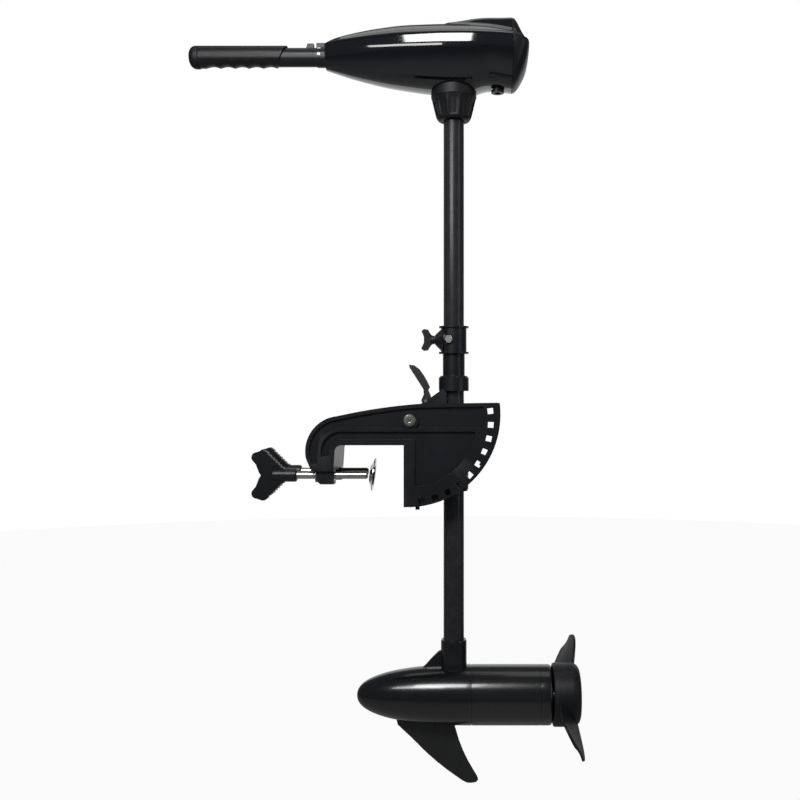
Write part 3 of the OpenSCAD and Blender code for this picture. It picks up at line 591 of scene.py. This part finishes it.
def clamp_handle(side, sign):
    """One butterfly with its sleeve, on the side of this sign."""
    thick = 10.5
    near = sign * screw_y * 1000 - thick / 2
    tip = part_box(side + "_clamp_handle")[0].x * 1000
    piece = plate(side + "_butterfly", [mm(x, near, z) for x, z in handle_outline(tip)], mm(thick))
    bevel(piece, 1.7, 3, 50)
    finish(piece, "nylon_satin", side + "_screw", ())
    centre = mm(tip + 44.5, sign * screw_y * 1000, 0)
    sleeve = lying_cylinder(side + "_handle_sleeve", 48, mm(8.9), mm(31), centre)
    edit(sleeve)
    pick(sleeve, "faces", lambda f: f.normal.x > 0.9)
    bpy.ops.mesh.inset(thickness=mm(1.1))
    extrude(mm(1.2, 0, 0))
    bpy.ops.mesh.inset(thickness=mm(2.6))
    extrude(mm(-2.4, 0, 0))
    done()
    bevel(sleeve, 0.5, 2, 40)
    finish(sleeve, "nylon_satin", side + "_screw", [side + "_clamp_handle"])


clamp_handle("left", -1)
clamp_handle("right", 1)

# %% [markdown]
# ## The control head
#
# The head is one teardrop with a raised hump at the back. It is drawn as a ring around the
# tiller's end and extruded from station to station; at each station every level of the ring is
# scaled to its new place. A subdivision surface makes it smooth, and planes then cut it into the
# lower base, the upper cover and the rear cap, each hollowed to a real wall.

# %% The head's lines
# Each line gives a height, or the half width for the beam, at some places along X.
split_z = 594.0
crown = ((-111.5, 600.0), (-105, 604), (-98, 607.2), (-84, 610.6), (-50, 617.2), (-5, 622.8), (47, 624),
         (110, 622.4), (147, 616))
keel = ((-111.5, 563.5), (-73, 551.5), (-28, 541), (28, 532.6), (60, 530.4), (98, 530.4), (113, 538.5),
        (130, 536.5), (147, 534))
beam = ((-111.5, 20), (-84, 31), (-50, 42), (-5, 52.5), (47, 60), (95, 61.5), (147, 57))
shoulder = ((-111.5, 595.8), (-85, 600), (-50, 602.5), (-8, 604.3), (47, 603.4), (130, 602), (147, 599))
ridge = ((55, 0.4), (66, 2.0), (80, 4.6), (96, 8.0), (113, 10.4), (130, 12.8), (147, 16.8))
stations = [-111.5, -105, -98, -84, -67, -50, -28, -5, 20, 47, 55, 66, 80, 96, 113, 130, 147]
LEVELS = 16
HALF = LEVELS // 2
NEAR = 0.1  # how close in mm a vertex counts as being at a station


def along(table, x):
    """The value at x of a line given by a few points."""
    for (x0, v0), (x1, v1) in zip(table, table[1:]):
        if x <= x1:
            return v0 + (v1 - v0) * (x - x0) / (x1 - x0)
    return table[-1][1]


def section(x):
    """Half of the head's section at x, from keel to crown, as (half width, height)."""
    wide, top, low, ledge = (along(line, x) for line in (beam, crown, keel, shoulder))
    half = []
    for level in range(HALF):
        a = math.radians(90 - 90 * level / HALF)
        across = 1.0 if level == HALF - 1 else math.cos(a) ** 0.85
        half.append((wide * across if level else 0.0, split_z - (split_z - low) * math.sin(a) ** 0.9))
    for share, lift in ((0.985, 0.0), (0.965, 0.3), (0.92, 0.62), (0.86, 0.88)):
        half.append((wide * share, split_z + (ledge - split_z) * lift))
    half.append((wide * 0.79, ledge))
    for share, lift in ((0.64, 0.45), (0.45, 0.74), (0.23, 0.93), (0.0, 1.0)):
        half.append((wide * share, ledge + (top - ledge) * lift))
    return half


# %% Growing the head from its first ring
def ring_levels(piece, x, shape):
    """Which vertices of the ring at x sit at each level of the shape."""
    work = bmesh.from_edit_mesh(piece.data)
    work.verts.index_update()
    found = [[] for _ in shape]
    for v in work.verts:
        if abs(v.co.x * 1000 - x) < 0.02:
            spot = (abs(v.co.y) * 1000, v.co.z * 1000)
            gaps = [abs(spot[0] - y) + abs(spot[1] - z) for y, z in shape]
            found[gaps.index(min(gaps))].append(v.index)
    return found


def reshape_ring(piece, x, old, new):
    """Scales each level of the ring at x from its old place to its new one."""
    levels = ring_levels(piece, x, old)
    for wanted, (y0, z0), (y1, z1) in zip(levels, old, new):
        chosen = set(wanted)
        pick(piece, "verts", lambda v: v.index in chosen)
        wide = y1 / y0 if y0 > 0.001 else 1.0
        tall = (z1 - split_z) / (z0 - split_z) if abs(z0 - split_z) > 0.001 else 1.0
        bpy.ops.transform.resize(value=(1, wide, tall), center_override=mm(x, 0, split_z))


def grow_head():
    """The head's closed form, grown from a circle at the tiller through every station."""
    clear_selection()
    start = stations[0]
    first_r = 20
    bpy.ops.mesh.primitive_circle_add(vertices=2 * LEVELS, radius=mm(first_r), fill_type="NOTHING",
                                      location=mm(start, 0, split_z), rotation=(0, math.pi / 2, 0))
    piece = take_new("head_form")
    edit(piece)
    turns = [math.pi * i / LEVELS for i in range(LEVELS + 1)]
    shape = [(first_r * math.sin(turn), split_z - first_r * math.cos(turn)) for turn in turns]
    reshape_ring(piece, start, shape, section(start))
    shape = section(start)
    for here, there in zip(stations, stations[1:]):
        pick(piece, "verts", lambda v: abs(v.co.x * 1000 - here) < 0.02)
        extrude(mm(there - here, 0, 0))
        reshape_ring(piece, there, shape, section(there))
        shape = section(there)
    for end in (stations[0], stations[-1]):
        pick(piece, "verts", lambda v: abs(v.co.x * 1000 - end) < 0.02)
        bpy.ops.mesh.edge_face_add()
    bpy.ops.mesh.select_all(action="SELECT")
    bpy.ops.mesh.normals_make_consistent(inside=False)
    print("head ring grown through", len(stations), "stations")
    return piece


head = grow_head()

# %% [markdown]
# The hump is pulled up out of the crown's own faces, so it flows into the cover. The back faces
# of the ring and of the hump are then extruded in shrinking steps to make the rear cap's beak.

# %% The hump and the beak
hump_x0, head_x1 = ridge[0][0], stations[-1]


def hump_face(face):
    """Is this one of the upward faces near the middle that the hump grows from?"""
    centre = face.calc_center_median() * 1000
    inside = hump_x0 - NEAR < centre.x < head_x1 and abs(centre.y) < along(beam, centre.x) * 0.5
    return face.normal.z > 0.5 and inside


pick(head, "faces", hump_face)
extrude(mm(0, 0, 0.2))
raised = selected_verts(head)
for x, lift in ridge:
    pick(head, "verts", lambda v: v.index in raised and abs(v.co.x * 1000 - x) < 0.5)
    bpy.ops.transform.translate(value=mm(0, 0, lift))
    centre = mm(x, 0, along(crown, x) + lift)
    bpy.ops.transform.resize(value=(1, 0.93, 0.62), center_override=centre)
print("hump raised,", len(raised), "vertices")

# The beak's steps: place, top, low edge and share of the width.
beak = ((152.0, 631.0, 535.0, 0.99), (157.0, 620.0, 541.0, 0.97), (162.0, 609.5, 550.0, 0.94),
        (167.0, 603.5, 560.0, 0.86), (170.0, 598.5, 574.0, 0.72), (171.0, 594.0, 585.0, 0.4))
beak_z = 590.0
x, top, low, wide = head_x1, 632.8, 534.0, 1.0
pick(head, "faces",
     lambda f: abs(f.calc_center_median().x * 1000 - head_x1) < NEAR and abs(f.normal.x) > 0.9)
for next_x, next_top, next_low, next_wide in beak:
    extrude(mm(next_x - x, 0, 0))
    moved = selected_verts(head)
    centre = mm(next_x, 0, beak_z)
    bpy.ops.transform.resize(value=(1, next_wide / wide, 1), center_override=centre)
    pick(head, "verts", lambda v: v.index in moved and v.co.z * 1000 > beak_z)
    bpy.ops.transform.resize(value=(1, 1, (next_top - beak_z) / (top - beak_z)), center_override=centre)
    pick(head, "verts", lambda v: v.index in moved and v.co.z * 1000 < beak_z)
    bpy.ops.transform.resize(value=(1, 1, (next_low - beak_z) / (low - beak_z)), center_override=centre)
    pick(head, "verts", lambda v: v.index in moved)
    bpy.ops.mesh.select_mode(type="FACE")
    x, top, low, wide = next_x, next_top, next_low, next_wide

# %% Creases, smoothing and the cuts
def crease(piece, amount, test):
    """Sharpens the edges that pass a test."""
    if pick(piece, "edges", test):
        bpy.ops.transform.edge_crease(value=amount)


def level_edge(e, height_at, slack=0.9):
    """Does this edge run lengthwise on the line of the given height, ahead of the beak?"""
    if abs(e.verts[0].co.x - e.verts[1].co.x) <= mm(1):
        return False
    spots = [v.co * 1000 for v in e.verts]
    return all(abs(spot.z - height_at(spot.x)) < slack and spot.x < head_x1 + NEAR for spot in spots)


def end_edge(e, x):
    """Does this edge lie in the ring at x?"""
    return all(abs(v.co.x * 1000 - x) < NEAR for v in e.verts)


crease(head, 0.5, lambda e: level_edge(e, lambda x: section(x)[HALF - 1][1]))
crease(head, 0.5, lambda e: level_edge(e, lambda x: along(shoulder, x)))
crease(head, 0.9, lambda e: end_edge(e, head_x1))
crease(head, 1.0, lambda e: end_edge(e, stations[0]))
done()
mend(head)
use(head, "SUBSURF", levels=2, render_levels=2)
print("head form has", len(head.data.polygons), "faces")


def slice_of(source, name, cuts):
    """A copy of the source with everything on the far side of each plane cut away."""
    piece = source.copy()
    piece.data = source.data.copy()
    piece.name = name
    bpy.context.scene.collection.objects.link(piece)
    for point, normal in cuts:
        edit(piece)
        bpy.ops.mesh.bisect(plane_co=point, plane_no=normal, clear_outer=True)
        done()
    return piece


gap = 0.25  # half of the seam between cover and base, in mm
wall = 2.2
above = (mm(0, 0, split_z + gap), (0, 0, -1))
below = (mm(0, 0, split_z - gap), (0, 0, 1))
ahead = (mm(head_x1 + 0.2, 0, 0), (1, 0, 0))
behind = (mm(head_x1 + 0.9, 0, 0), (-1, 0, 0))
parts = (
    ("upper_cover", (above, ahead), "head_cover", "polished_cover"),
    ("lower_base", (below, ahead), "head_base", "polished_cover"),
    ("rear_panel", (behind,), "rear_cap", "nylon_satin"),
)
for name, cuts, node, finish_name in parts:
    piece = slice_of(head, name, cuts)
    use(piece, "SOLIDIFY", thickness=mm(wall), offset=-1.0)
    bevel(piece, 0.45, 2, 55)
    finish(piece, finish_name, "shaft", [node], 40)
bpy.data.objects.remove(head)

# %% [markdown]
# ## Tiller grip
#
# The twist grip is straight on top and scalloped below, so that four fingers find their place.
# It starts as a cylinder; rings are added by bisecting, the lower vertices are raised between the
# cusps, and the inboard end is sheared to the slant of the real one.

# %% The grip
grip_low, grip_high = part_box("grip")
cap_low, cap_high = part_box("grip_cap")
grip_r = (grip_high.z - grip_low.z) / 2


def make_grip():
    """The grip, open at its inboard end for the tiller."""
    first, last = cap_high.x + mm(0.4), grip_high.x
    centre = ((first + last) / 2, 0, tiller_z)
    piece = lying_cylinder("twist_grip", 64, grip_r, last - first, centre)
    edit(piece)
    pitch, rings = mm(20), 10
    x = first + pitch / rings
    while x < last - mm(0.5):
        bpy.ops.mesh.select_all(action="SELECT")
        bpy.ops.mesh.bisect(plane_co=(x, 0, 0), plane_no=(1, 0, 0))
        x += pitch / rings
    work = bmesh.from_edit_mesh(piece.data)
    cusp = first + mm(8)
    for v in work.verts:
        below = max(0.0, (tiller_z - v.co.z) / grip_r - 0.35) / 0.65
        wave = math.sin(math.pi * ((v.co.x - cusp) / pitch % 1.0)) if v.co.x > cusp else 0.0
        v.co.z += below * (mm(1.0) + mm(2.6) * wave)
        lean = max(0.0, 1 - (last - v.co.x) / mm(16))
        v.co.x -= lean * mm(13) * (grip_high.z - v.co.z) / (2 * grip_r)
    bmesh.update_edit_mesh(piece.data)
    pick(piece, "faces", lambda f: f.normal.x > 0.6 and len(f.verts) > 8)
    bpy.ops.mesh.inset(thickness=mm(1.6))
    extrude(mm(-6, 0, 0))
    bpy.ops.mesh.delete(type="FACE")
    pick(piece, "faces", lambda f: f.normal.x < -0.9 and len(f.verts) > 8)
    bpy.ops.mesh.inset(thickness=mm(0.8))
    extrude(mm(0.8, 0, 0))
    done()
    return piece


grip = make_grip()
mend(grip)
bevel(grip, 0.5, 2, 50)
finish(grip, "grip_rubber", "grip", ["grip"], 50)

# %% The grip's end cap
cap_centre = ((cap_low.x + cap_high.x) / 2, 0, tiller_z)
grip_end = lying_cylinder("grip_end", 64, grip_r, cap_high.x - cap_low.x, cap_centre)
edit(grip_end)
pick(grip_end, "edges", lambda e: all(v.co.x < cap_low.x + mm(0.1) for v in e.verts))
bpy.ops.mesh.bevel(offset=mm(9.5), segments=10, profile=0.5, affect="EDGES")
done()
mend(grip_end)
bevel(grip_end, 0.4, 2, 60)
finish(grip_end, "nylon_matte", "grip", ["grip_cap"], 50)

# %% [markdown]
# The speed scale is a few white marks on the fixed ring. Each is a thin slip that follows the
# ring: a small grid, bent round by moving each vertex to the ring's radius, then thickened.

# %% The speed marks
def mark(name, x, radius, around, long, wide):
    """A mark at an angle around the tiller, in degrees from its near side."""
    clear_selection()
    bpy.ops.mesh.primitive_grid_add(x_subdivisions=4, y_subdivisions=6, size=1.0)
    piece = bpy.context.object
    piece.name = name
    edit(piece)
    work = bmesh.from_edit_mesh(piece.data)
    for v in work.verts:
        a = math.radians(around) + v.co.y * wide / radius
        place = (x + v.co.x * long, -radius * math.cos(a), tiller_z * 1000 + radius * math.sin(a))
        v.co = mm(*place)
    bmesh.update_edit_mesh(piece.data)
    done()
    mend(piece)
    use(piece, "SOLIDIFY", thickness=mm(0.3), offset=0.0)
    finish(piece, "dial_print", "shaft", ())


mark_x, mark_r = -120.6, 13.95
for number, around in enumerate((2, 47, 92, 137, 182)):
    mark(f"speed_mark_{number}", mark_x, mark_r, around, 4.2, 3.4)

# %% [markdown]
# ## Neck collar
#
# Under the head a tapered collar grips the shaft. It is fluted, so it is a cylinder with many
# sides whose ring is extruded down in steps; every other group of sides is then drawn inwards.

# %% The neck collar
def make_neck():
    """The collar, from rings of (depth below its top, radius), with flutes between two depths."""
    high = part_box("neck_collar")[1]
    flutes, sides = 10, 80
    flute_top, flute_end, flute_depth = 17.3, 44.5, 2.1
    levels = ((0.0, 31.7), (17.0, 31.7), (17.6, 30.9), (25.0, 29.3), (34.0, 27.2), (42.5, 25.0),
              (45.5, 23.8), (48.2, 21.8), (49.5, 18.6))
    clear_selection()
    bpy.ops.mesh.primitive_circle_add(vertices=sides, radius=mm(levels[0][1]), fill_type="NGON",
                                      location=(shaft_x, 0, high.z))
    piece = take_new("fluted_collar")
    edit(piece)
    for (d0, r0), (d1, r1) in zip(levels, levels[1:]):
        extrude(mm(0, 0, d0 - d1))
        ring_z = high.z - mm(d1)
        bpy.ops.transform.resize(value=(r1 / r0, r1 / r0, 1), center_override=(shaft_x, 0, ring_z))
    work = bmesh.from_edit_mesh(piece.data)
    for v in work.verts:
        depth = (high.z - v.co.z) * 1000
        if flute_top < depth < flute_end:
            a = math.atan2(v.co.y, v.co.x - shaft_x)
            share = 0.5 + 0.5 * math.cos(flutes * a)
            fade = min(1.0, (depth - flute_top) / 2, (flute_end - depth) / 2)
            dip = flute_depth * min(1.0, (1 - share) * 2.2) * fade
            reach = math.hypot(v.co.x - shaft_x, v.co.y)
            scale = (reach - mm(dip)) / reach
            v.co.x = shaft_x + (v.co.x - shaft_x) * scale
            v.co.y *= scale
    bmesh.update_edit_mesh(piece.data)
    done()
    mend(piece)
    bevel(piece, 0.5, 2, 28)
    finish(piece, "nylon_matte", "shaft", ["neck_collar"], 30)


make_neck()

# %% [markdown]
# ## The motor
#
# The motor is turned metal and moulded nylon around one axis, so its shells are spun: half of a
# section is walked out from one vertex and swept round with the spin tool.

# %% Turning a shell
def turned(name, profile, steps=96):
    """Spins a profile of (distance along X, radius) in mm round the motor's axis."""
    piece = outline(name, [mm(x, 0, motor_height + r) for x, r in profile])
    bpy.ops.mesh.select_all(action="SELECT")
    bpy.ops.mesh.spin(steps=steps, angle=2 * math.pi, center=(0, 0, motor_z), axis=(1, 0, 0))
    done()
    mend(piece)
    return piece


tube_low, tube_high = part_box("motor_tube")
motor_r = (tube_high.z - tube_low.z) * 500
nose_x, seam_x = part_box("motor_nose")[0].x * 1000, tube_low.x * 1000
rear_seam_x, cap_x = tube_high.x * 1000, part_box("motor_end_cap")[1].x * 1000


def ogive(share):
    """(x, radius) on the nose, from its tip at 0 to its seam at 1."""
    x = nose_x + (seam_x - nose_x) * share ** 2
    return x, motor_r * max(0.0, 1 - ((seam_x - x) / (seam_x - nose_x)) ** 2.3) ** (1 / 2.3)


nose_line = [ogive(i / 30) for i in range(30)]
nose_line += [(seam_x - 0.6, motor_r), (seam_x - 0.25, motor_r - 0.35), (seam_x - 0.25, motor_r - 1.6)]
nose = turned("nose_shell", nose_line)
finish(nose, "motor_paint", "shaft", (), 50)
tube_line = [(seam_x - 4, motor_r - 1.2), (seam_x + 0.25, motor_r - 1.2), (seam_x + 0.25, motor_r - 0.35),
             (seam_x + 0.6, motor_r), (rear_seam_x - 0.6, motor_r), (rear_seam_x - 0.25, motor_r - 0.35),
             (rear_seam_x - 0.25, motor_r - 1.2), (rear_seam_x + 4, motor_r - 1.2)]
tube = turned("motor_shell", tube_line)
finish(tube, "motor_paint", "shaft", ["motor_tube"], 50)
cap_line = [(rear_seam_x + 0.25, motor_r - 1.6), (rear_seam_x + 0.25, motor_r - 0.35),
            (rear_seam_x + 0.6, motor_r), (cap_x - 4, motor_r), (cap_x - 1.4, motor_r - 0.8),
            (cap_x, motor_r - 3.2), (cap_x, 5.3)]
end_cap = turned("end_shell", cap_line)
finish(end_cap, "motor_paint", "shaft", ["motor_end_cap"], 50)

# %% [markdown]
# The neck that holds the shaft is turned too, but about an upright axis. It flares where it meets
# the nose. The gusset in front of it and the skeg below are fins: a plate whose rim is drawn in to
# a thin edge, as a casting tapers.

# %% The neck, the gusset and the skeg
def upright(name, profile, x, steps=64):
    """Spins a profile of (height, radius) in mm round an upright axis at x."""
    piece = outline(name, [mm(x + r, 0, z) for z, r in profile])
    bpy.ops.mesh.select_all(action="SELECT")
    bpy.ops.mesh.spin(steps=steps, angle=2 * math.pi, center=mm(x, 0, 0), axis=(0, 0, 1))
    done()
    mend(piece)
    return piece


neck_line = [(-284, 18.6), (-271, 18.6), (-268, 18.2), (-262, 17.9), (-234, 17.9), (-232.3, 17.3),
             (-232, 16.4), (-233, 14.5), (-240, 14.4)]
neck = upright("motor_neck", neck_line, shaft_x * 1000)
finish(neck, "motor_paint", "shaft", (), 50)


def fin(name, points, thick, thin, spine):
    """A plate in the plane y = 0 whose outer rim is thinner than its root along the spine height."""
    piece = plate(name, [mm(x, -thick / 2, z) for x, z in points], mm(thick))
    edit(piece)
    outward = 1 if spine > motor_height else -1
    pick(piece, "verts", lambda v: v.co.z * 1000 * outward > spine * outward)
    bpy.ops.transform.resize(value=(1, thin / thick, 1), center_override=(0, 0, 0))
    done()
    return piece


skeg_root = motor_height - 32
skeg_line = [(-14, skeg_root), (-11.4, -351.3), (8, -370.5), (28.1, -390.5), (44, -404.5), (58.3, -415.7),
             (78.2, -429.7), (85.2, -433.2), (92, -433.4), (98.2, -432.2), (101.2, -428.6), (99.2, -423.4),
             (92.0, -411.5), (86.4, -401.7), (79.8, -388), (74.1, -373.7), (68.4, -354.1),
             (68.4, skeg_root)]
skeg = fin("skeg_fin", skeg_line, 9.0, 3.6, -352.0)
bevel(skeg, 1.5, 3, 40)
finish(skeg, "skeg_nylon", "shaft", (), 40)
gusset_line = [(56, -246), (50.2, -246.6), (45.6, -248.8), (36.5, -257.5), (27, -268), (14, -279),
               (56, -284)]
gusset = fin("neck_gusset", gusset_line, 11.0, 6.5, -272.0)
bevel(gusset, 1.6, 3, 40)
finish(gusset, "motor_paint", "shaft", ["motor_nose"], 40)

# %% [markdown]
# ## Propeller
#
# A weedless propeller has a fat hub and two broad blades that sweep back. The hub is spun. A blade
# starts as a grid: each row across it is scaled to its chord, turned to its pitch and slid back,
# and a solidified, subdivided surface gives it body.

# %% The hub
hub_x0 = cap_x + 1.6
hub_x1 = 242.5
hub_edge = 12  # radius of the rounding at the hub's rear
hub_line = [(hub_x0 + 6, 36), (hub_x0 + 0.4, 38), (hub_x0, 40), (hub_x0 + 0.6, 42.2), (hub_x0 + 2.4, 43.1)]
for degrees in range(0, 91, 9):
    a = math.radians(degrees)
    hub_line.append((hub_x1 - hub_edge + hub_edge * math.sin(a), 31.2 + hub_edge * math.cos(a)))
hub_line += [(hub_x1 - 0.5, 24), (hub_x1 - 1.1, 16), (hub_x1 - 2.2, 13.4), (hub_x1 - 4, 12.6),
             (hub_x1 - 12, 12.2)]
hub = turned("prop_hub", hub_line)
finish(hub, "nylon_matte", "rotor", (), 50)

# %% The blades
blade_r = 104.0
blade_root = 36.0
blade_pitch = 34.0
blade_turn = 63.0
blade_x = 224.0


def make_blade(name, turn, nodes=()):
    """A blade at an angle around the motor's axis, in degrees from straight down."""
    rows, columns = 12, 8
    clear_selection()
    bpy.ops.mesh.primitive_grid_add(x_subdivisions=columns, y_subdivisions=rows, size=1.0)
    piece = bpy.context.object
    piece.name = name
    edit(piece)
    work = bmesh.from_edit_mesh(piece.data)
    a = math.radians(turn)
    for v in work.verts:
        u = v.co.y + 0.5
        r = blade_root + (blade_r - blade_root) * u
        chord = 46 + 26 * math.sin(math.radians(115 * u)) - 44 * u ** 5
        twist = math.radians(blade_pitch - 10 * u)
        s = chord * v.co.x
        camber = 2.2 * (1 - (2 * v.co.x) ** 2)
        axial = blade_x + 8 * u * u + s * math.sin(twist) + camber * math.cos(twist)
        side = 5 * u + s * math.cos(twist) - camber * math.sin(twist)
        y = side * math.cos(a) + r * math.sin(a)
        z = side * math.sin(a) - r * math.cos(a)
        v.co = mm(axial, y, motor_height + z)
    bmesh.update_edit_mesh(piece.data)
    done()
    mend(piece)
    use(piece, "SOLIDIFY", thickness=mm(3.4), offset=0.0)
    use(piece, "SUBSURF", levels=2, render_levels=2)
    finish(piece, "nylon_matte", "rotor", nodes, 60)


make_blade("prop_blade_0", -blade_turn)
make_blade("prop_blade_1", 180 - blade_turn, ["propeller"])

# %% [markdown]

# %% The end
print("the end")
